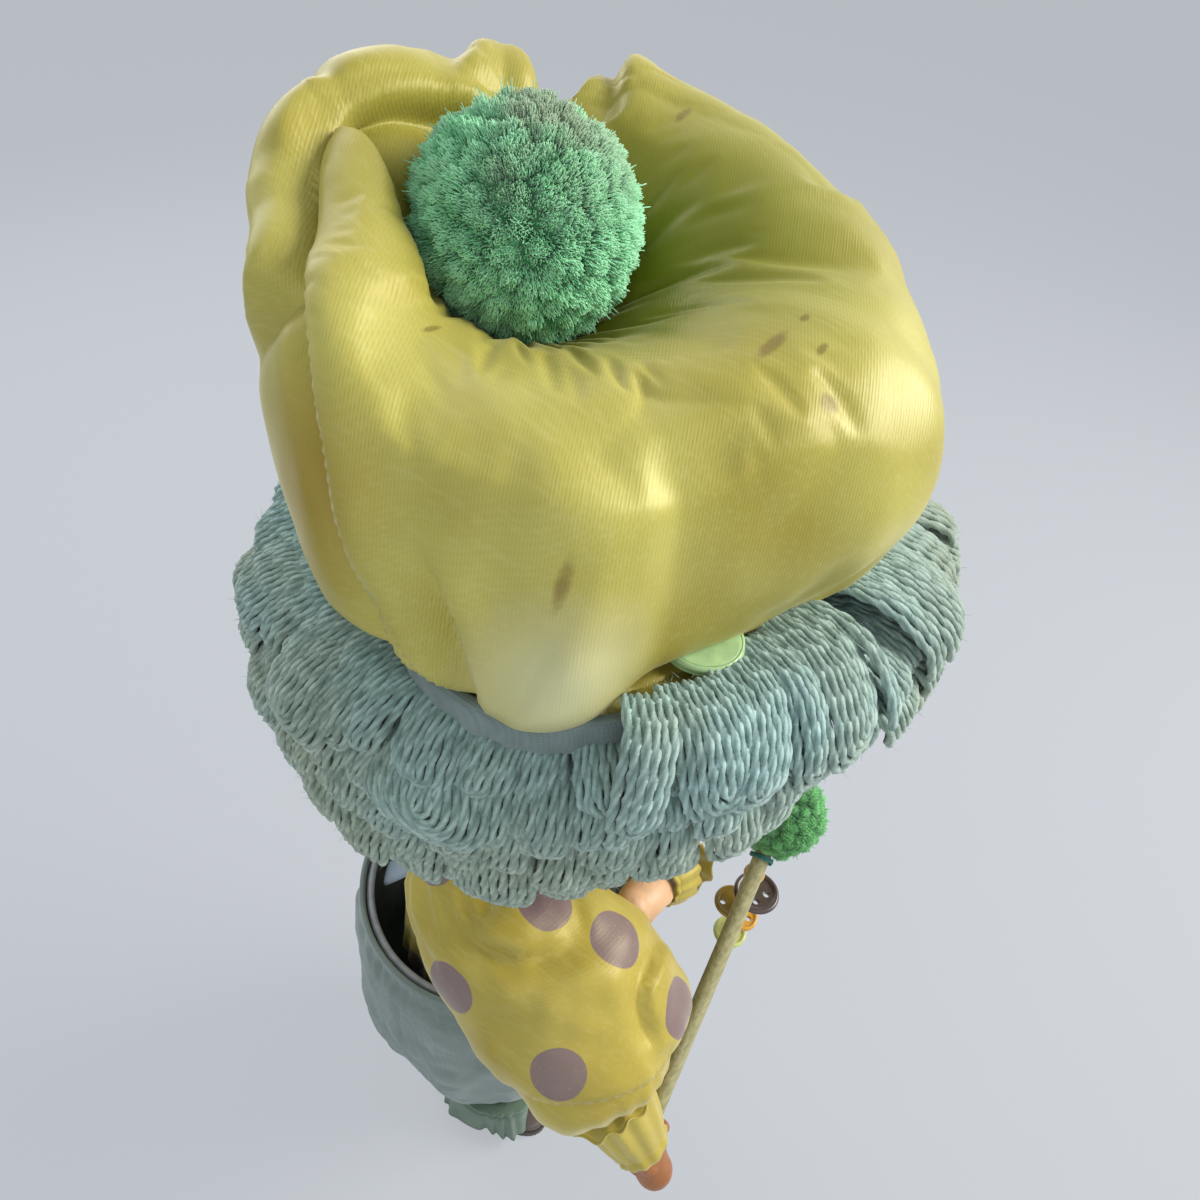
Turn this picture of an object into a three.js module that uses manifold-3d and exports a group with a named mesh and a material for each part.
// Standing cloth clown doll with a turning head, swinging arms and a stick with hanging buttons.
// Millimetres, +Z up. The doll faces -Y, so its right hand is on -X. Z = 0 is the floor under the soles.
// The origin lies under the axis of the head and wig.
import * as THREE from 'three';
import { mergeVertices } from 'three/addons/utils/BufferGeometryUtils.js';
import Module from 'manifold-3d';

const wasm = await Module();
wasm.setup();

// Gaps between pieces that touch, room for swinging, and how far a cutting tool runs past what it cuts
const GAP = 0.3;
const SWING_ROOM = 8;
const PAST = 5;

// Body, from the floor up
const BODY_X = -10;
const BODY_Y = 15;
const SOLE_THICKNESS = 4;
const SHOE_HEIGHT = 17;
const SHOE_LENGTH = 56;
const SHOE_WIDTH = 25;
const SHOE_WALL = 1.5;
const STANCE = 16;
const STANCE_Y = 3;
const TOE_FORWARD = 4;
const LEG_LENGTH = 58;
const LEG_RADIUS = 12.5;
const ANKLE_RADIUS = 8;
const TORSO_LENGTH = 158;
const TORSO_HALF_WIDTH = 30;
const TORSO_HALF_DEPTH = 25;

// Trousers
const TROUSER_TOP_ABOVE_CROTCH = 73;
const TROUSER_HEM_ABOVE_SOLE = 24;
const WAIST_RADIUS = 45;
const TROUSER_BULGE = 3.5;
const TROUSER_WALL = 1.8;
const TROUSER_CLEFT = 0.42;
const HOOP_WIRE = 2.6;
const CUFF_LENGTH = 21;
const CUFF_RADIUS = 18.5;
const CUFF_HEM = 5;
const CUFF_OUT = 2.5;
const STRAP_WIDTH = 7.5;
const STRAP_THICKNESS = 1.6;
const STRAP_SPREAD = 20;

// Shirt and collar
const CLOTH = 2.4;
const SHIRT_HEM_ABOVE_CROTCH = 48;
const COLLAR_RADIUS = 36;
const COLLAR_THICKNESS = 2.2;
const COLLAR_WAVES = 8;
const COLLAR_WAVE_DEPTH = 2;
const COLLAR_LIFT = 5;
const COLLAR_DROP = 6;

// Head
const NECK_RADIUS = 13;
const NECK_LENGTH = 11;
const HEAD_HALF_WIDTH = 42;
const HEAD_HALF_HEIGHT = 43;
const HEAD_WALL = 3;
const PEG_RADIUS = 5;
const PEG_LENGTH = 44;
const NOSE_RADIUS = 6.5;
const EYE_RADIUS = 5;
const EYE_SPREAD = 14.5;
const EYE_DROP = 5;
const NOSE_DROP = 14;
const FACE_RELIEF = 2.6;

// Wig
const WIG_RADIUS = 77;
const WIG_TOP = 20;
const CAP_THICKNESS = 1.8;
const BUNCHES = 16;
const BUNCH_DEPTH = 3.2;
const FACE_OPENING = 50;

// Hat
const HAT_X = 5;
const HAT_Y = 7;
const HAT_RIM = 60;
const HAT_RIM_HEIGHT = 19;
const HAT_RIM_TILT = 16;
const HAT_CREST = 45;
const HAT_CREST_HEIGHT = 61;
const HAT_CREST_TILT = 12;
const HAT_TILT_HEADING = 60;
const HAT_CORNER = 13;
const HAT_CORNER_HEADING = -150;
const HAT_MOUTH = 46;
const HAT_FOLDS = 5;
const HAT_FOLD_DEPTH = 5;
const BAND_HEIGHT = 8;
const BAND_THICKNESS = 3;
const BAND_ROUND = 1.5;
const HAT_POMPOM_RADIUS = 22;
const HAT_POMPOM_X = 3;
const HAT_POMPOM_Y = 23;
const HAT_POMPOM_HEIGHT = 50;
const DISC_RADIUS = 12;
const DISC_THICKNESS = 1.8;
const DISC_REACH = 50;
const DISC_HEADING = -114;

// Arms
const SHOULDER_BELOW_NECK = 30;
const SHOULDER_SPREAD = 38;
const ARM_LENGTH = 95;
const ARM_RADIUS = 10;
const STUB_LENGTH = 20;
const STUB_TUCK = 8;
const SLEEVE_RADIUS = 26;
const SLEEVE_LEFT_RADIUS = 17.5;
const RUFFLE_RADIUS = 14;
const RUFFLE_WAVE = 1.6;
const FRILL_HALF = 2;
const SHOULDER_TUCK = 11;
const WRIST_RADIUS = 6;

// Stick, its pompom and its buttons
const STICK_RADIUS = 2.7;
const STICK_LENGTH = 105;
const STICK_HEADING = 9.2;
const STICK_RISE = 30.1;
const STICK_BELOW_GRIP = 6;
const GRIP_IN = 1.5;
const STICK_POMPOM_RADIUS = 15;
const POMPOM_SEAT = 8;
const THREAD_RADIUS = 0.6;
const THREAD_LENGTH = 58;
const BUTTON_THICKNESS = 2.6;
const BUTTON_HOLE = 1.1;
const BEAD_RADIUS = 3.6;
const BEAD_HEIGHT = 2.8;
const BEAD_DROP = 9;

// Heights that follow from the sizes above
const SHOE_BOTTOM = SOLE_THICKNESS + GAP;
const LEG_BOTTOM = SOLE_THICKNESS + SHOE_HEIGHT * 0.5;
const CROTCH = SOLE_THICKNESS + SHOE_HEIGHT + LEG_LENGTH;
const TORSO_TOP = CROTCH + TORSO_LENGTH;
const NECK_BOTTOM = TORSO_TOP + GAP;
const HEAD_Z = NECK_BOTTOM + NECK_LENGTH + HEAD_HALF_HEIGHT;
const SHOULDER_Z = TORSO_TOP - SHOULDER_BELOW_NECK;
const TROUSER_TOP = CROTCH + TROUSER_TOP_ABOVE_CROTCH;
const TROUSER_HEM = SOLE_THICKNESS + TROUSER_HEM_ABOVE_SOLE;

const colours = {
  skin: [0xd2a679, 0.6],
  hand: [0xb88a58, 0.65],
  red: [0xb5382f, 0.35],
  eye: [0x2a2420, 0.15],
  wigCap: [0x8fa7a1, 0.95],
  yarn: [0x82a19b, 0.98],
  satin: [0xd2bf5c, 0.38],
  shirt: [0xcbb04c, 0.32],
  band: [0x82919a, 0.85],
  mint: [0x6cc08a, 0.98],
  green: [0x4f9a5c, 0.98],
  disc: [0xb4d796, 0.5],
  calico: [0xcfc2a4, 0.95],
  collar: [0xa9c3cf, 0.85],
  trousers: [0x8aa39c, 0.88],
  cuff: [0x5f7a6c, 0.88],
  strap: [0x82919a, 0.85],
  shoe: [0x4c4038, 0.6],
  sole: [0x3a322c, 0.8],
  wood: [0xb0a982, 0.6],
  thread: [0x286f64, 0.8],
  brown: [0x413228, 0.3],
  ochre: [0x967814, 0.35],
  orange: [0xc89614, 0.35],
  lime: [0xbec36e, 0.35],
  steel: [0x8c8f92, 0.35, 0.9],
};

const doll = new THREE.Group();

function add(name, colour, geometry, parent = doll) {
  const [hex, roughness, metalness = 0] = colours[colour];
  const material = new THREE.MeshStandardMaterial({ color: hex, roughness, metalness });
  const mesh = new THREE.Mesh(geometry, material);
  mesh.name = name;
  parent.add(mesh);
  return mesh;
}

// Small maths helpers
const v3 = (x, y, z) => new THREE.Vector3(x, y, z);
const mix = (a, b, t) => a + (b - a) * t;
const TURN = 2 * Math.PI;
const DEGREE = Math.PI / 180;

// Value of an evenly spaced list at t between 0 and 1, as a smooth curve through its entries
function along(list, t) {
  const place = Math.min(Math.max(t, 0), 1) * (list.length - 1);
  const index = Math.min(Math.floor(place), list.length - 2);
  const part = place - index;
  const before = list[Math.max(index - 1, 0)];
  const here = list[index];
  const next = list[index + 1];
  const after = list[Math.min(index + 2, list.length - 1)];
  const slope = (next - before) / 2;
  const slopeNext = (after - here) / 2;
  const p2 = part * part;
  const p3 = p2 * part;
  return (2 * p3 - 3 * p2 + 1) * here + (p3 - 2 * p2 + part) * slope
    + (3 * p2 - 2 * p3) * next + (p3 - p2) * slopeNext;
}

// Closed skin over a stack of rings with equal counts of points; the first and last ring get a centre point
function skin(rings) {
  const count = rings[0].length;
  const points = rings.flat();
  const middle = (ring) => ring.reduce((sum, p) => sum.add(p), v3(0, 0, 0)).divideScalar(ring.length);
  points.push(middle(rings[0]), middle(rings[rings.length - 1]));
  const faces = [];
  const lastRing = (rings.length - 1) * count;
  for (let i = 0; i < count; i += 1) {
    const next = (i + 1) % count;
    faces.push([points.length - 2, next, i]);
    faces.push([points.length - 1, lastRing + i, lastRing + next]);
    for (let r = 0; r < rings.length - 1; r += 1) {
      const low = r * count;
      const high = low + count;
      faces.push([low + i, low + next, high + next]);
      faces.push([low + i, high + next, high + i]);
    }
  }
  return facing(points, faces);
}

// Closed ring-shaped skin: each ring is a whole cross-section, and the last ring joins the first
function hoopSkin(rings) {
  const count = rings[0].length;
  const points = rings.flat();
  const faces = [];
  for (let r = 0; r < rings.length; r += 1) {
    const low = r * count;
    const high = ((r + 1) % rings.length) * count;
    for (let i = 0; i < count; i += 1) {
      const next = (i + 1) % count;
      faces.push([low + i, low + next, high + next]);
      faces.push([low + i, high + next, high + i]);
    }
  }
  return facing(points, faces);
}

// Indexed geometry with its faces turned outward
function facing(points, faces) {
  let volume = 0;
  for (const [a, b, c] of faces) {
    volume += points[a].dot(v3(0, 0, 0).crossVectors(points[b], points[c]));
  }
  const turned = volume < 0 ? faces.map(([a, b, c]) => [a, c, b]) : faces;
  const geometry = new THREE.BufferGeometry();
  const numbers = points.flatMap((p) => [p.x, p.y, p.z]);
  geometry.setAttribute('position', new THREE.Float32BufferAttribute(numbers, 3));
  geometry.setIndex(turned.flat());
  return geometry;
}

// Solids for cutting and joining
function solid(geometry) {
  const bare = geometry.clone();
  bare.deleteAttribute('normal');
  bare.deleteAttribute('uv');
  const merged = mergeVertices(bare, 1e-4);
  const mesh = new wasm.Mesh({
    numProp: 3,
    vertProperties: new Float32Array(merged.attributes.position.array),
    triVerts: new Uint32Array(merged.index.array),
  });
  return new wasm.Manifold(mesh);
}

function geometryOf(manifold) {
  const mesh = manifold.getMesh();
  const geometry = new THREE.BufferGeometry();
  geometry.setAttribute('position', new THREE.BufferAttribute(new Float32Array(mesh.vertProperties), 3));
  geometry.setIndex(new THREE.BufferAttribute(new Uint32Array(mesh.triVerts), 1));
  return geometry;
}

function cut(base, ...tools) {
  return geometryOf(tools.reduce((left, tool) => left.subtract(solid(tool)), solid(base)));
}

function join(first, ...others) {
  return geometryOf(others.reduce((sum, other) => sum.add(solid(other)), solid(first)));
}

function box(width, depth, height, x, y, z) {
  return new THREE.BoxGeometry(width, depth, height).translate(x, y, z);
}

// Upright cylinder from one height to another
function post(radius, low, high, x = 0, y = 0, sides = 28) {
  const cylinder = new THREE.CylinderGeometry(radius, radius, high - low, sides);
  return cylinder.rotateX(Math.PI / 2).translate(x, y, (low + high) / 2);
}

// Geometry whose own +Z is turned to a direction and whose middle is moved to a place
function aimed(geometry, direction, place) {
  const turn = new THREE.Quaternion().setFromUnitVectors(v3(0, 0, 1), direction.clone().normalize());
  return geometry.applyQuaternion(turn).translate(place.x, place.y, place.z);
}

// Stuffed limb: round sections of changing radius along a smooth route
function limb(route, radii, { steps = 6, sides = 12, grow = 0, flatten = 1 } = {}) {
  const curve = new THREE.CatmullRomCurve3(route);
  const frames = curve.computeFrenetFrames(steps, false);
  const rings = [];
  for (let s = 0; s <= steps; s += 1) {
    const centre = curve.getPointAt(s / steps);
    const end = s === 0 ? -grow : (s === steps ? grow : 0);
    centre.addScaledVector(frames.tangents[s], end);
    const radius = along(radii, s / steps) + grow;
    const ring = [];
    for (let i = 0; i < sides; i += 1) {
      const angle = TURN * i / sides;
      ring.push(centre.clone()
        .addScaledVector(frames.normals[s], Math.cos(angle) * radius)
        .addScaledVector(frames.binormals[s], Math.sin(angle) * radius * flatten));
    }
    rings.push(ring);
  }
  return skin(rings);
}

// Centre line of the body: upright up to the waist, then leaning to the neck above the origin
function spine(z) {
  const lean = Math.min(Math.max((z - TROUSER_TOP) / (TORSO_TOP - TROUSER_TOP), 0), 1);
  return v3(mix(BODY_X, 0, lean), mix(BODY_Y, 0, lean), z);
}

// Torso
const TORSO_STEPS = 8;
const TORSO_SIDES = 18;
const torsoWidths = [0.62, 0.95, 1.05, 1.02, 0.97, 0.93, 0.88, 0.84, 0.72, 0.45];

function torsoHalf(z) {
  return along(torsoWidths, (z - CROTCH) / TORSO_LENGTH);
}

function torsoShape(grow = 0, low = CROTCH + GAP, high = TORSO_TOP) {
  const rings = [];
  for (let s = 0; s <= TORSO_STEPS; s += 1) {
    const z = mix(low, high, s / TORSO_STEPS);
    const centre = spine(z);
    const ring = [];
    for (let i = 0; i < TORSO_SIDES; i += 1) {
      const angle = TURN * i / TORSO_SIDES;
      ring.push(v3(
        centre.x + Math.cos(angle) * (TORSO_HALF_WIDTH * torsoHalf(z) + grow),
        centre.y + Math.sin(angle) * (TORSO_HALF_DEPTH * torsoHalf(z) + grow),
        z,
      ));
    }
    rings.push(ring);
  }
  return skin(rings);
}

const pegLow = NECK_BOTTOM + NECK_LENGTH - PEG_LENGTH;
const pegHole = post(PEG_RADIUS + GAP, pegLow - GAP, TORSO_TOP + PAST);
const shoulder = (side) => v3(
  spine(SHOULDER_Z).x + side * SHOULDER_SPREAD,
  spine(SHOULDER_Z).y,
  SHOULDER_Z,
);
function armStub(side, grow) {
  const radius = ARM_RADIUS * 0.7 + grow;
  return new THREE.CylinderGeometry(radius, radius, STUB_LENGTH, 16)
    .rotateZ(Math.PI / 2)
    .translate(shoulder(side).x - side * STUB_TUCK, shoulder(side).y, SHOULDER_Z);
}

add('torso', 'calico', cut(torsoShape(), pegHole, armStub(1, GAP), armStub(-1, GAP)));

// Legs, shoes and soles
const LEG_SIDES = { right: -1, left: 1 };

const hip = (side) => v3(BODY_X + side * STANCE, BODY_Y * 0.75, CROTCH);
const foot = (side) => v3(BODY_X + side * STANCE, STANCE_Y, LEG_BOTTOM);
const legRoute = (side) => [foot(side), hip(side).lerp(foot(side), 0.5), hip(side)];
const legRadii = [ANKLE_RADIUS, ANKLE_RADIUS * 1.1, LEG_RADIUS, LEG_RADIUS * 1.05, LEG_RADIUS];
const legShape = (side, grow = 0) => limb(legRoute(side), legRadii, { steps: 8, grow });

// Shoe outline seen from above: a round toe that is wider than the heel
function shoeOutline(side, grow) {
  const outline = [];
  for (let i = 0; i < 18; i += 1) {
    const angle = TURN * i / 18;
    const toward = -Math.sin(angle);
    const half = SHOE_WIDTH / 2 * (0.9 + 0.12 * toward) + grow;
    outline.push([
      BODY_X + side * STANCE + Math.cos(angle) * half,
      STANCE_Y - TOE_FORWARD - toward * (SHOE_LENGTH / 2 + grow),
    ]);
  }
  return outline;
}

function shoeUpper(side, grow = 0) {
  const outline = shoeOutline(side, grow - SHOE_WALL);
  const centreX = BODY_X + side * STANCE;
  const steps = 4;
  const rings = [];
  for (let s = 0; s <= steps; s += 1) {
    const lift = s / steps;
    const shrink = Math.sqrt(1 - (lift * 0.9) ** 2);
    rings.push(outline.map(([x, y]) => v3(
      centreX + (x - centreX) * mix(shrink, 1, 0.25),
      STANCE_Y + (y - STANCE_Y) * mix(shrink, 1, 0.1),
      SHOE_BOTTOM - grow + lift * (SHOE_HEIGHT + grow * 2),
    )));
  }
  return skin(rings);
}

function sole(side) {
  const shape = new THREE.Shape(shoeOutline(side, 0).map(([x, y]) => new THREE.Vector2(x, y)));
  return new THREE.ExtrudeGeometry(shape, { depth: SOLE_THICKNESS, bevelEnabled: false });
}

// Trousers: one loose shell that hangs from the waist hoop and parts into two legs
const TROUSER_STEPS = 8;
const TROUSER_SIDES = 32;
const trouserProfile = [0.66, 0.8, 0.9, 0.98, 1.03, 1.05, 1.05, 1.03, 1.0];

function trouserRadius(z, angle) {
  const t = Math.min(Math.max((z - TROUSER_HEM) / (TROUSER_TOP - TROUSER_HEM), 0), 1);
  const loose = Math.sin(Math.PI * t);
  const fold = TROUSER_BULGE * 0.35 * loose * Math.cos(9 * angle + 0.6) + TROUSER_BULGE * loose * 0.3;
  const cleft = TROUSER_CLEFT * Math.max(1 - t * 1.7, 0) * Math.exp(-((Math.cos(angle) / 0.3) ** 2));
  return WAIST_RADIUS * along(trouserProfile, t) * (1 - cleft) + fold;
}

function trouserCentre(z) {
  const t = Math.min(Math.max((z - TROUSER_HEM) / (TROUSER_TOP - TROUSER_HEM), 0), 1);
  return v3(BODY_X, mix(STANCE_Y * 2, BODY_Y, Math.sqrt(t)), z);
}

function trouserShape(low, high, steps, grow = 0) {
  const rings = [];
  for (let s = 0; s <= steps; s += 1) {
    const z = mix(low, high, s / steps);
    const centre = trouserCentre(z);
    const ring = [];
    for (let i = 0; i < TROUSER_SIDES; i += 1) {
      const angle = TURN * i / TROUSER_SIDES;
      const radius = trouserRadius(z, angle) + grow;
      ring.push(v3(centre.x + Math.cos(angle) * radius, centre.y + Math.sin(angle) * radius, z));
    }
    rings.push(ring);
  }
  return skin(rings);
}

add('trousers', 'trousers', cut(
  trouserShape(TROUSER_HEM, TROUSER_TOP, TROUSER_STEPS),
  trouserShape(TROUSER_HEM - CLOTH, TROUSER_TOP + CLOTH, TROUSER_STEPS, -TROUSER_WALL),
));

// Sprung wire that keeps the waist round, lying inside the hem
const hoopRadius = trouserRadius(TROUSER_TOP, 0) - TROUSER_WALL - HOOP_WIRE / 2 - GAP;
const hoopProfile = [];
for (let i = 0; i <= 4; i += 1) {
  const angle = TURN * i / 4;
  hoopProfile.push(new THREE.Vector2(
    hoopRadius + Math.cos(angle) * HOOP_WIRE / 2,
    Math.sin(angle) * HOOP_WIRE / 2,
  ));
}
const hoopZ = TROUSER_TOP - HOOP_WIRE;
add('waist_hoop', 'steel', new THREE.LatheGeometry(hoopProfile, TROUSER_SIDES)
  .rotateX(Math.PI / 2)
  .translate(trouserCentre(hoopZ).x, trouserCentre(hoopZ).y, hoopZ));

// Frilled cuff at each ankle, under the hem of the trousers
function cuffShape(side) {
  const top = TROUSER_HEM - GAP;
  const rings = [];
  for (let s = 0; s <= 3; s += 1) {
    const t = s / 3;
    const ring = [];
    for (let i = 0; i < 24; i += 1) {
      const angle = TURN * i / 24;
      const frill = CUFF_HEM * (1 - t) * (0.45 + 0.3 * Math.cos(6 * angle));
      const inward = side * Math.cos(angle) < 0 ? 0.8 : 1;
      const radius = CUFF_RADIUS + frill;
      ring.push(v3(
        BODY_X + side * (STANCE + CUFF_OUT) + Math.cos(angle) * radius * 0.85 * inward,
        STANCE_Y - GAP * 3 + Math.sin(angle) * radius * 1.28,
        top - CUFF_LENGTH * (1 - t),
      ));
    }
    rings.push(ring);
  }
  return skin(rings);
}

for (const [name, side] of Object.entries(LEG_SIDES)) {
  const shoe = cut(shoeUpper(side), legShape(side, GAP));
  add(`leg_${name}`, 'calico', cut(legShape(side), torsoShape(GAP, CROTCH, TORSO_TOP)));
  add(`shoe_${name}`, 'shoe', shoe);
  add(`sole_${name}`, 'sole', sole(side));
  add(`trouser_cuff_${name}`, 'cuff', cut(cuffShape(side), shoeUpper(side, GAP * 2), legShape(side, GAP)));
}

// Shirt
const shirtLow = CROTCH + SHIRT_HEM_ABOVE_CROTCH;
const shirtHigh = TORSO_TOP - CLOTH * 1.6;
const shirtShape = (grow = 0) => torsoShape(CLOTH + GAP + grow, shirtLow, shirtHigh);
add('shirt_body', 'shirt', cut(
  shirtShape(),
  torsoShape(GAP),
  armStub(1, GAP),
  armStub(-1, GAP),
));

// Collar: a waved ring round the neck
function collarShape() {
  const rings = [];
  for (let i = 0; i < COLLAR_WAVES * 4; i += 1) {
    const angle = TURN * i / (COLLAR_WAVES * 4);
    const wave = Math.cos(COLLAR_WAVES * angle) * COLLAR_WAVE_DEPTH;
    const point = (radius, z) => v3(Math.cos(angle) * radius, Math.sin(angle) * radius, z);
    const inner = NECK_RADIUS + GAP * 2;
    const innerZ = TORSO_TOP + COLLAR_LIFT;
    const outerZ = TORSO_TOP - COLLAR_DROP + wave;
    const middle = mix(inner, COLLAR_RADIUS, 0.5);
    const middleZ = innerZ + COLLAR_THICKNESS * 0.8 + wave * 0.3;
    rings.push([
      point(inner, innerZ),
      point(middle, middleZ),
      point(COLLAR_RADIUS, outerZ),
      point(COLLAR_RADIUS, outerZ + COLLAR_THICKNESS),
      point(middle, middleZ + COLLAR_THICKNESS),
      point(inner, innerZ + COLLAR_THICKNESS),
    ]);
  }
  return hoopSkin(rings);
}
add('collar', 'collar', collarShape());

// Shoulder straps: bands that follow the shirt from the front of the hoop over the shoulder to its back
function strapEdge(across, over) {
  const width = (z) => TORSO_HALF_WIDTH * torsoHalf(z) + over;
  const depth = (z) => TORSO_HALF_DEPTH * torsoHalf(z) + over;
  const onShirt = (z, front) => v3(
    spine(z).x + across,
    spine(z).y + front * depth(z) * Math.sqrt(1 - (across / width(z)) ** 2),
    z,
  );
  const overShoulder = (y) => {
    let z = TORSO_TOP + over - CLOTH - GAP * 3;
    while ((across / width(z)) ** 2 + ((y - spine(z).y) / depth(z)) ** 2 > 1) {
      z -= GAP / 3;
    }
    return v3(spine(z).x + across, y, z);
  };
  const low = TROUSER_TOP - HOOP_WIRE * 2.5;
  const inHoop = hoopRadius - HOOP_WIRE / 2 - STRAP_THICKNESS * 2 - CLOTH * 1.5 + over - GAP;
  const atHoop = (front) => v3(
    BODY_X + across,
    trouserCentre(low).y + front * Math.sqrt(inHoop ** 2 - across ** 2),
    low,
  );
  const shoulderZ = mix(TROUSER_TOP, TORSO_TOP, 0.72);
  const climb = [0.25, 0.5, 0.75, 1].map((t) => mix(TROUSER_TOP, shoulderZ, t));
  const reach = depth(shoulderZ) * Math.sqrt(1 - (across / width(shoulderZ)) ** 2);
  const shares = [-0.75, -0.4, 0, 0.4, 0.75];
  const crossing = shares.map((share) => overShoulder(spine(shoulderZ).y + share * reach));
  return new THREE.CatmullRomCurve3([
    atHoop(-1),
    ...climb.map((z) => onShirt(z, -1)),
    ...crossing,
    ...climb.reverse().map((z) => onShirt(z, 1)),
    atHoop(1),
  ], false, 'centripetal');
}

function strapShape(side) {
  const inner = CLOTH + GAP * 5;
  const near = side * (STRAP_SPREAD - STRAP_WIDTH / 2);
  const far = side * (STRAP_SPREAD + STRAP_WIDTH / 2);
  const edges = [
    strapEdge(near, inner), strapEdge(far, inner),
    strapEdge(far, inner + STRAP_THICKNESS), strapEdge(near, inner + STRAP_THICKNESS),
  ];
  const steps = 24;
  const rings = [];
  for (let s = 0; s <= steps; s += 1) {
    rings.push(edges.map((edge) => edge.getPoint(s / steps)));
  }
  return skin(rings);
}
for (const [name, side] of Object.entries(LEG_SIDES)) {
  add(`strap_${name}`, 'strap', strapShape(side));
}

// Head: a moulded shell form with brow, cheeks, lips and chin on its front
function headPoint(angle, rise, grow) {
  const around = v3(Math.cos(angle) * Math.cos(rise), Math.sin(angle) * Math.cos(rise), Math.sin(rise));
  const bump = (x, z, reach, height) => {
    const facingFront = Math.max(-around.y, 0);
    const far = ((around.x - x) ** 2 + (around.z - z) ** 2) / (reach * reach);
    return facingFront * height * FACE_RELIEF * Math.exp(-far);
  };
  const relief = bump(0.42, -0.3, 0.24, 1) + bump(-0.42, -0.3, 0.24, 1)
    + bump(0, -0.82, 0.2, 1.25) + bump(0, -0.6, 0.17, 0.55)
    + bump(0.3, 0.02, 0.16, -0.6) + bump(-0.3, 0.02, 0.16, -0.6) + bump(0, 0.25, 0.4, 0.45);
  const reach = 1 + (relief + grow) / HEAD_HALF_WIDTH;
  return v3(
    around.x * HEAD_HALF_WIDTH * reach,
    around.y * HEAD_HALF_WIDTH * reach,
    HEAD_Z + around.z * HEAD_HALF_HEIGHT * reach,
  );
}

const HEAD_SIDES = 20;
const HEAD_STEPS = 15;

function headShape(grow, sides = HEAD_SIDES, steps = HEAD_STEPS) {
  const rings = [];
  for (let s = 1; s < steps; s += 1) {
    const rise = -Math.PI / 2 + Math.PI * s / steps;
    const ring = [];
    for (let i = 0; i < sides; i += 1) {
      ring.push(headPoint(TURN * i / sides, rise, grow));
    }
    rings.push(ring);
  }
  return skin(rings);
}

const eyePlace = (side) => v3(side * EYE_SPREAD, -HEAD_HALF_WIDTH * 0.885, HEAD_Z - EYE_DROP);
const nosePlace = v3(0, -HEAD_HALF_WIDTH - NOSE_RADIUS * 0.35, HEAD_Z - NOSE_DROP);
const ball = (radius, place, sides = 10) => new THREE.SphereGeometry(radius, sides, Math.round(sides * 0.7))
  .rotateX(Math.PI / 2)
  .translate(place.x, place.y, place.z);

const headParts = [
  ball(EYE_RADIUS + GAP, eyePlace(1)),
  ball(EYE_RADIUS + GAP, eyePlace(-1)),
  ball(NOSE_RADIUS + GAP, nosePlace),
  post(PEG_RADIUS + GAP, NECK_BOTTOM - PAST, NECK_BOTTOM + NECK_LENGTH + HEAD_WALL * 2),
  headShape(-HEAD_WALL, 16, 10),
];
const neck = post(NECK_RADIUS, NECK_BOTTOM, HEAD_Z - HEAD_HALF_HEIGHT * 0.8);
const bareHead = join(headShape(0), neck);
add('head', 'skin', cut(bareHead, ...headParts));
add('nose', 'red', ball(NOSE_RADIUS, nosePlace));
add('eye_right', 'eye', ball(EYE_RADIUS, eyePlace(-1)));
add('eye_left', 'eye', ball(EYE_RADIUS, eyePlace(1)));
add('neck_peg', 'wood', post(PEG_RADIUS, pegLow, NECK_BOTTOM + NECK_LENGTH));

// Wig cap: cloth shell that the yarn is sewn to, open over the face and the nape
const wide = HEAD_HALF_WIDTH * 4;
const faceOpening = box(wide, wide / 2, wide * 0.7, 0, -wide / 4, -wide * 0.35)
  .rotateX(-0.35)
  .translate(0, -HEAD_HALF_WIDTH / 3, HEAD_Z + HEAD_HALF_HEIGHT * 0.56);
const napeOpening = box(wide, wide, wide, 0, 0, HEAD_Z - HEAD_HALF_HEIGHT * 0.65 - wide / 2);
add('wig_cap', 'wigCap', cut(
  headShape(CAP_THICKNESS + GAP, 18, 12),
  headShape(GAP),
  faceOpening,
  napeOpening,
));

// Wig: three tiers of yarn bunches, each lying on the next.
// Profile points are shares of the wig's radius, of its top's height above the head's centre and of bunching.
const capRadius = (height) => {
  const reach = HEAD_HALF_WIDTH + CAP_THICKNESS + GAP * 6;
  const tall = HEAD_HALF_HEIGHT + CAP_THICKNESS + GAP * 6;
  return reach * Math.sqrt(Math.max(1 - (height / tall) ** 2, 0));
};
const onCap = (share, drop = 0) => [capRadius(share * WIG_TOP), share * WIG_TOP - drop, 0];
const inWig = (reach, share, bunched, drop = 0) => [reach * WIG_RADIUS, share * WIG_TOP - drop, bunched];
const LAY = GAP * 1.4;
const upperTier = [
  onCap(1), inWig(0.76, 0.96, 0.4), inWig(0.92, 0.68, 0.8), inWig(1, 0.15, 1),
  inWig(0.97, -0.5, 1), inWig(0.85, -0.42, 0.2), onCap(-0.1),
];
const middleTier = [
  onCap(-0.1, LAY), inWig(0.85, -0.42, 0.2, LAY), inWig(0.925, -0.54, 0.8),
  inWig(0.94, -0.86, 1), inWig(0.89, -1.24, 1), inWig(0.78, -1.14, 0.1), onCap(-0.75),
];
const lowerTier = [
  onCap(-0.75, LAY), inWig(0.78, -1.14, 0.1, LAY), inWig(0.85, -1.28, 0.6),
  inWig(0.84, -1.55, 1), inWig(0.78, -1.92, 1), inWig(0.66, -2.05, 0.5), onCap(-1.15),
];

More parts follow.
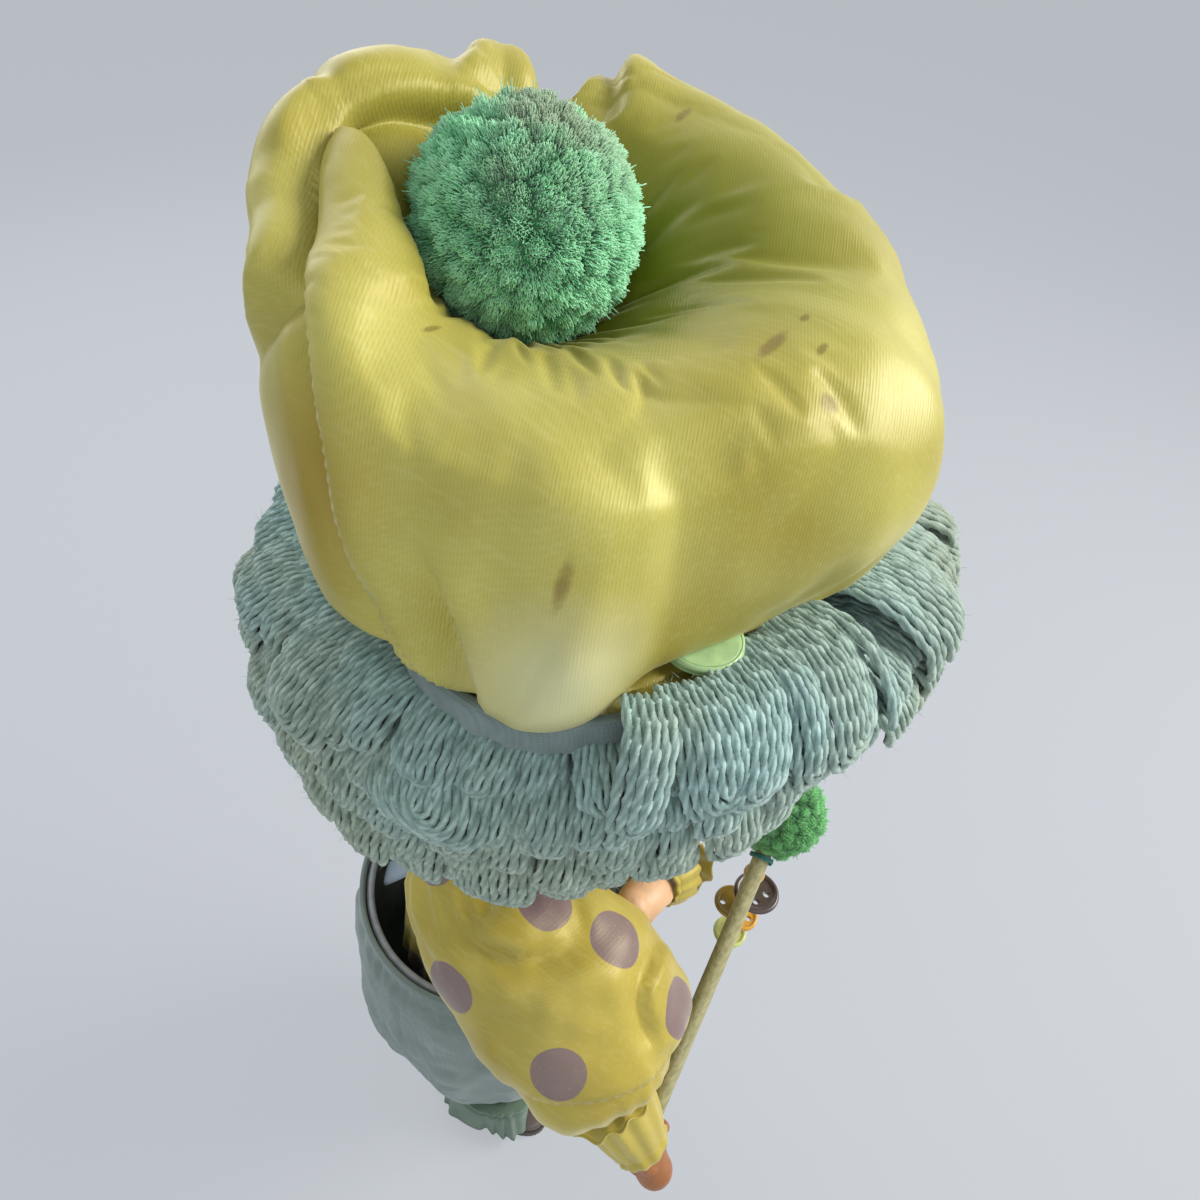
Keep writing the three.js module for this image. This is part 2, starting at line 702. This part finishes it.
function tierShape(profile, shift) {
  const turns = BUNCHES * 4;
  const rings = [];
  for (let i = 0; i < turns; i += 1) {
    const angle = TURN * i / turns;
    const lobe = Math.abs(Math.cos((BUNCHES * angle + shift) / 2)) - 0.64;
    rings.push(profile.map(([radius, height, share]) => {
      const reach = radius + lobe * BUNCH_DEPTH * share;
      return v3(Math.cos(angle) * reach, Math.sin(angle) * reach, HEAD_Z + height);
    }));
  }
  return hoopSkin(rings);
}

// Wedge in front of the face that the two lower tiers leave open
function faceWedge(half) {
  const reach = WIG_RADIUS * 2;
  const open = half * DEGREE;
  const shape = new THREE.Shape([
    new THREE.Vector2(0, HEAD_HALF_WIDTH * 0.43),
    new THREE.Vector2(-Math.sin(open) * reach, -Math.cos(open) * reach),
    new THREE.Vector2(Math.sin(open) * reach, -Math.cos(open) * reach),
  ]);
  return new THREE.ExtrudeGeometry(shape, { depth: HEAD_HALF_HEIGHT * 2, bevelEnabled: false })
    .translate(0, 0, HEAD_Z - HEAD_HALF_HEIGHT);
}
add('hair_tier_upper', 'yarn', tierShape(upperTier, 0));
add('hair_tier_middle', 'yarn', cut(tierShape(middleTier, Math.PI), faceWedge(FACE_OPENING)));
add('hair_tier_lower', 'yarn', cut(tierShape(lowerTier, 0), faceWedge(FACE_OPENING)));

// Hat band and crown share an egg-shaped mouth, drawn out to the doll's front right
const corner = (angle) => HAT_CORNER * Math.max(Math.cos(angle - HAT_CORNER_HEADING * DEGREE), 0) ** 4;
const mouthRadius = (angle) => HAT_MOUTH + corner(angle);
const bandLow = HEAD_Z + WIG_TOP + GAP;
const bandHigh = bandLow + BAND_HEIGHT;

function bandShape() {
  const rings = [];
  for (let i = 0; i < 40; i += 1) {
    const angle = TURN * i / 40;
    const point = (radius, z) => v3(Math.cos(angle) * radius, Math.sin(angle) * radius, z);
    const outer = mouthRadius(angle);
    rings.push([
      point(outer - BAND_THICKNESS, bandLow),
      point(outer, bandLow + BAND_ROUND),
      point(outer, bandHigh - BAND_ROUND),
      point(outer - BAND_THICKNESS, bandHigh),
    ]);
  }
  return hoopSkin(rings);
}
add('hat_band', 'band', bandShape());

// Hat crown: from the mouth out to the rim, up to the crest and down into the dimple under the pompom.
// Rim and crest stand higher on the side that the hat is tilted to, where the folds are deepest too.
const hatLow = bandHigh + GAP;
const hatPompomPlace = v3(HAT_POMPOM_X, HAT_POMPOM_Y, hatLow + HAT_POMPOM_HEIGHT);
const HAT_SIDES = 36;
const HAT_STEPS = 10;
const FOLD_TURN = 1.4;

function crownProfile(angle) {
  const tilt = Math.cos(angle - HAT_TILT_HEADING * DEGREE);
  const rimZ = hatLow + HAT_RIM_HEIGHT + HAT_RIM_TILT * tilt;
  const crestZ = hatLow + HAT_CREST_HEIGHT + HAT_CREST_TILT * tilt;
  const mouth = mouthRadius(angle) - BAND_THICKNESS / 2;
  const rim = HAT_RIM + corner(angle) * 0.6;
  const seat = HAT_POMPOM_RADIUS * 0.8;
  return {
    reach: [
      mouth, mix(mouth, rim, 0.75), rim, mix(rim, HAT_CREST, 0.1), mix(rim, HAT_CREST, 0.4),
      HAT_CREST, mix(HAT_CREST, seat, 0.6), seat, seat * 0.5,
    ],
    height: [
      hatLow, mix(hatLow, rimZ, 0.3), rimZ, mix(rimZ, crestZ, 0.5), mix(rimZ, crestZ, 0.86),
      crestZ, mix(hatPompomPlace.z, crestZ, 0.6), hatPompomPlace.z - HAT_POMPOM_RADIUS * 0.6,
      hatPompomPlace.z - HAT_POMPOM_RADIUS * 0.9,
    ],
    tilt,
  };
}

function crownShape() {
  const rings = [];
  for (let s = 0; s <= HAT_STEPS; s += 1) {
    const t = s / HAT_STEPS;
    const outward = Math.min(t * 5, 1);
    const inward = Math.max(t * 2 - 1, 0);
    const ring = [];
    for (let i = 0; i < HAT_SIDES; i += 1) {
      const angle = TURN * i / HAT_SIDES;
      const profile = crownProfile(angle);
      const wave = Math.abs(Math.cos(HAT_FOLDS * (angle + t * FOLD_TURN) / 2)) - 0.64;
      const fold = HAT_FOLD_DEPTH * (1 + profile.tilt) * 0.8 * Math.sin(Math.PI * t) * wave;
      const radius = along(profile.reach, t) + fold;
      ring.push(v3(
        mix(0, mix(HAT_X, HAT_POMPOM_X, inward), outward) + Math.cos(angle) * radius,
        mix(0, mix(HAT_Y, HAT_POMPOM_Y, inward), outward) + Math.sin(angle) * radius,
        along(profile.height, t) + (t > 0.45 ? fold * 0.7 : 0),
      ));
    }
    rings.push(ring);
  }
  return skin(rings);
}

// Pompom: a ball with a soft uneven surface
function pompomShape(radius, place, grow = 0, sides = 18) {
  const geometry = new THREE.SphereGeometry(radius + grow, sides, Math.round(sides * 0.66));
  const spots = geometry.attributes.position;
  for (let i = 0; i < spots.count; i += 1) {
    const p = v3(0, 0, 0).fromBufferAttribute(spots, i);
    const [u, v, w] = [p.x, p.y, p.z].map((part) => part / radius);
    const uneven = 1 + 0.018 * Math.sin(u * 9 + 1) * Math.sin(v * 8) + 0.012 * Math.sin(w * 12);
    spots.setXYZ(i, p.x * uneven, p.y * uneven, p.z * uneven);
  }
  return geometry.translate(place.x, place.y, place.z);
}

// Smooth felt disc held between the band and the crown, showing past the edge of the hat
const discAngle = DISC_HEADING * DEGREE;
const discShape = (grow) => {
  const low = bandHigh + GAP - grow;
  const middle = v3(Math.cos(discAngle) * DISC_REACH, Math.sin(discAngle) * DISC_REACH, 0);
  return post(DISC_RADIUS + grow, low, low + DISC_THICKNESS + grow * 2, middle.x, middle.y, 32);
};
add('hat_disc', 'disc', discShape(0));
add('hat_crown', 'satin', cut(
  crownShape(),
  headShape(CAP_THICKNESS + GAP * 6.5, 18, 12),
  pompomShape(HAT_POMPOM_RADIUS, hatPompomPlace, GAP),
  discShape(GAP),
));
add('hat_pompom', 'mint', pompomShape(HAT_POMPOM_RADIUS, hatPompomPlace));

// Arms: routes from each shoulder to the hand, in shares of the arm's length
const fromShoulder = (side, shares) => shares.map((share) => v3(...share)
  .multiplyScalar(ARM_LENGTH)
  .add(shoulder(side)));
const rightRoute = fromShoulder(-1, [
  [0, 0, 0], [-0.03, -0.18, -0.13], [-0.02, -0.4, -0.295], [-0.01, -0.61, -0.505], [-0.01, -0.715, -0.63],
]);
const rightHandRoute = fromShoulder(-1, [
  [-0.01, -0.735, -0.65], [-0.02, -0.81, -0.735], [-0.03, -0.865, -0.8],
]);
const leftRoute = fromShoulder(1, [
  [0, 0, 0], [0.05, -0.06, -0.18], [0.05, -0.21, -0.305], [-0.15, -0.39, -0.305], [-0.25, -0.415, -0.275],
]);
const leftHandRoute = fromShoulder(1, [
  [-0.275, -0.42, -0.27], [-0.335, -0.43, -0.25], [-0.43, -0.425, -0.225],
]);

// Stick held in the right hand
const grip = rightHandRoute[1].clone().add(v3(GRIP_IN, GRIP_IN, GRIP_IN * 0.7));
const stickDirection = v3(
  Math.cos(STICK_RISE * DEGREE) * Math.cos(STICK_HEADING * DEGREE),
  Math.cos(STICK_RISE * DEGREE) * Math.sin(STICK_HEADING * DEGREE),
  Math.sin(STICK_RISE * DEGREE),
);
const stickLow = grip.clone().addScaledVector(stickDirection, -STICK_BELOW_GRIP);
const stickPoint = (distance) => stickLow.clone().addScaledVector(stickDirection, distance);

function stickShape(grow = 0, low = 0, high = STICK_LENGTH) {
  const radius = STICK_RADIUS + grow;
  const rod = new THREE.CylinderGeometry(radius, radius, high - low, 18).rotateX(Math.PI / 2);
  return aimed(rod, stickDirection, stickPoint((low + high) / 2));
}
const stickRoom = stickShape(GAP, -STICK_LENGTH * 0.3, STICK_LENGTH);

function armShape(route, grow = 0) {
  const radii = [ARM_RADIUS * 0.72, ARM_RADIUS, ARM_RADIUS * 0.95, ARM_RADIUS * 0.78, WRIST_RADIUS];
  return limb(route, radii, { grow });
}

// Puffed sleeve: swelling radii with shallow gathers, open at neither end
function sleeveShape(route, radii, grow = 0) {
  return limb(route, radii, { steps: 8, sides: 18, grow });
}

// Everything on the body's side of the plane where a sleeve begins, clear of the shirt and the strap
function bodySide(side) {
  const shirtEdge = TORSO_HALF_WIDTH * torsoHalf(SHOULDER_Z - ARM_RADIUS * 2) + CLOTH + GAP * 2;
  const reach = Math.max(shirtEdge, STRAP_SPREAD + STRAP_WIDTH / 2) + GAP * 4;
  return box(
    SLEEVE_RADIUS * 4,
    SLEEVE_RADIUS * 6,
    SLEEVE_RADIUS * 3,
    spine(SHOULDER_Z).x + side * (reach - SLEEVE_RADIUS * 2),
    0,
    SHOULDER_Z + SLEEVE_RADIUS * 1.5 - ARM_RADIUS,
  );
}

// Gathered frill at a wrist: a waved ring across the arm
function frillShape(place, direction, bore) {
  const rings = [];
  for (let i = 0; i < 28; i += 1) {
    const angle = TURN * i / 28;
    const wave = Math.cos(7 * angle) * RUFFLE_WAVE;
    const point = (radius, z) => v3(Math.cos(angle) * radius, Math.sin(angle) * radius, z);
    rings.push([
      point(bore, -FRILL_HALF), point(RUFFLE_RADIUS + wave, -FRILL_HALF * 0.5 + wave * 0.5),
      point(RUFFLE_RADIUS + wave, FRILL_HALF * 0.4 + wave * 0.5), point(bore, FRILL_HALF),
    ]);
  }
  return aimed(hoopSkin(rings), direction, place);
}

function handShape(route, swell, grow = 0) {
  const radii = [0.8, 0.95, 1.1 * swell, 1.2 * swell, 1.1 * swell, 0.5].map((share) => share * WRIST_RADIUS);
  return limb(route, radii, { steps: 8, grow, flatten: 0.8 });
}

// One arm: stuffed arm, puffed sleeve, gathered frill, tapering cuff and moulded hand
function buildArm(name, side, route, handRoute, puff, ruffleAt, extras = []) {
  const curve = new THREE.CatmullRomCurve3(route);
  const cuffStart = curve.getPointAt(ruffleAt);
  const cuffDirection = curve.getTangentAt(ruffleAt);
  const shares = [0, 0.25, 0.5, 0.75, 1];
  const armRoute = shares.map((share) => curve.getPointAt(ruffleAt * share));
  armRoute[4].addScaledVector(cuffDirection, FRILL_HALF);
  const sleeveRoute = shares.map((share) => curve.getPointAt(ruffleAt * share));
  sleeveRoute[4].addScaledVector(cuffDirection, -FRILL_HALF - GAP);
  sleeveRoute.unshift(shoulder(side).add(v3(-side * SHOULDER_TUCK, 0, GAP * 3)));
  const sleeveRadii = [0.5, 0.74, 0.94, 1, 0.9, 0.42].map((share) => share * puff);
  const armRoom = armShape(armRoute, GAP);
  const frillReach = RUFFLE_RADIUS * 1.4;
  const frillRoom = aimed(
    new THREE.CylinderGeometry(frillReach, frillReach, (FRILL_HALF + GAP) * 2, 12).rotateX(Math.PI / 2),
    cuffDirection,
    cuffStart,
  );
  add(`arm_${name}`, 'calico', join(armShape(armRoute), armStub(side, 0)));
  add(`sleeve_${name}`, 'shirt', cut(
    sleeveShape(sleeveRoute, sleeveRadii),
    shirtShape(GAP * 4),
    bodySide(side),
    torsoShape(CLOTH + SWING_ROOM, shirtLow, SHOULDER_Z - ARM_RADIUS),
    trouserShape(TROUSER_HEM, TROUSER_TOP + GAP * 2, 3, GAP * 2),
    armRoom,
    armStub(side, GAP),
    frillRoom,
    ...extras,
  ));
  const frill = frillShape(cuffStart, cuffDirection, WRIST_RADIUS * 1.3);
  add(`wrist_ruffle_${name}`, 'shirt', cut(frill, armRoom, ...extras));
  const coneStart = cuffStart.clone().addScaledVector(cuffDirection, FRILL_HALF + GAP * 2);
  const handStart = coneStart.clone();
  const hand = handShape([handStart, ...handRoute], 1);
  const handRoom = handShape([handStart, ...handRoute], 1, GAP);
  const coneEnd = handRoute[0].clone().lerp(handRoute[1], 0.4);
  const cone = limb(
    [coneStart, coneStart.clone().lerp(coneEnd, 0.5), coneEnd],
    [WRIST_RADIUS * 2, WRIST_RADIUS * 1.75, WRIST_RADIUS * 1.35],
    { steps: 4, sides: 18 },
  );
  add(`sleeve_cuff_${name}`, 'shirt', cut(cone, handRoom, armRoom, frillRoom, ...extras));
  add(`hand_${name}`, name === 'right' ? 'hand' : 'skin', cut(hand, armRoom, ...extras));
}

buildArm('right', -1, rightRoute, rightHandRoute, SLEEVE_RADIUS, 0.86, [stickRoom]);
buildArm('left', 1, leftRoute, leftHandRoute, SLEEVE_LEFT_RADIUS, 0.9);

// Pompom on the end of the stick, with a socket for the stick
const stickPompomPlace = stickPoint(STICK_LENGTH + STICK_POMPOM_RADIUS - POMPOM_SEAT);
add('stick', 'wood', stickShape());
add('stick_pompom', 'green', cut(
  pompomShape(STICK_POMPOM_RADIUS, stickPompomPlace, 0, 16),
  stickShape(GAP, STICK_LENGTH - STICK_POMPOM_RADIUS, STICK_LENGTH + GAP),
));

// Thread loop tied round the stick beside the pompom
const loopPlace = stickPoint(STICK_LENGTH - POMPOM_SEAT - THREAD_RADIUS - GAP * 2);
const loopRadius = STICK_RADIUS + GAP + THREAD_RADIUS;
add('thread_loop', 'thread', aimed(
  new THREE.TorusGeometry(loopRadius, THREAD_RADIUS, 5, 16),
  stickDirection,
  loopPlace,
));

// Thread that hangs straight down from the lowest point of the loop
const down = v3(0, 0, -1);
const loopLow = down.clone().addScaledVector(stickDirection, -down.dot(stickDirection)).normalize();
const threadTop = loopPlace.clone()
  .addScaledVector(loopLow, loopRadius)
  .addScaledVector(down, THREAD_RADIUS + GAP * 2);
const threadRoute = [];
for (let drop = 0; drop <= THREAD_LENGTH; drop += THREAD_LENGTH / 16) {
  threadRoute.push(threadTop.clone().add(v3(0, 0, -drop)));
}
const threadSection = new THREE.Shape();
threadSection.absarc(0, 0, THREAD_RADIUS, 0, TURN);
add('button_thread', 'thread', new THREE.ExtrudeGeometry(threadSection, {
  steps: 16,
  curveSegments: 4,
  bevelEnabled: false,
  extrudePath: new THREE.CatmullRomCurve3(threadRoute),
}));

// Buttons strung on the thread: a turned disc with a raised rim, and holes of which one takes the thread
function buttonShape(radius, holeReach, holeCount) {
  const half = BUTTON_THICKNESS / 2;
  const profile = [
    [0, -half], [radius * 0.7, -half], [radius * 0.95, -half * 0.5], [radius, 0],
    [radius * 0.95, half], [radius * 0.8, half], [radius * 0.68, half * 0.4], [0, half * 0.4],
  ].map(([r, z]) => new THREE.Vector2(r, z));
  const disc = new THREE.LatheGeometry(profile, 14).rotateX(Math.PI / 2);
  const holes = [];
  for (let i = 0; i < holeCount; i += 1) {
    const angle = TURN * i / holeCount;
    const across = v3(Math.cos(angle), Math.sin(angle), 0).multiplyScalar(holeReach);
    holes.push(post(BUTTON_HOLE, -half * 3, half * 3, across.x, across.y, 6));
  }
  return cut(disc, ...holes);
}

// Each button: name, colour, radius, holes, reach of the holes, drop below the thread's top and heading
const BUTTONS = [
  ['button_brown', 'brown', 7.8, 4, 3.4, 21, -65],
  ['button_ochre', 'ochre', 6.2, 2, 3.2, 30, 125],
  ['button_yellow', 'orange', 5.6, 4, 2.2, 38, -80],
  ['button_green', 'lime', 6, 2, 2.6, 47.5, 200],
];
for (const [name, colour, radius, holeCount, reach, drop, heading] of BUTTONS) {
  const turn = heading * DEGREE;
  const place = threadTop.clone().add(v3(Math.cos(turn) * reach, Math.sin(turn) * reach, -drop));
  const button = buttonShape(radius, reach, holeCount)
    .rotateZ(turn + Math.PI)
    .translate(place.x, place.y, place.z);
  add(name, colour, button);
}
const beadBore = THREAD_RADIUS * 2;
const beadHalf = BEAD_HEIGHT / 2;
const beadProfile = [
  [beadBore, -beadHalf], [BEAD_RADIUS * 0.78, -beadHalf], [BEAD_RADIUS, 0], [BEAD_RADIUS * 0.78, beadHalf],
  [beadBore, beadHalf], [beadBore, -beadHalf],
].map(([r, z]) => new THREE.Vector2(r, z));
add('thread_bead', 'orange', new THREE.LatheGeometry(beadProfile, 18)
  .rotateX(Math.PI / 2)
  .translate(threadTop.x, threadTop.y, threadTop.z - BEAD_DROP));

export default doll;
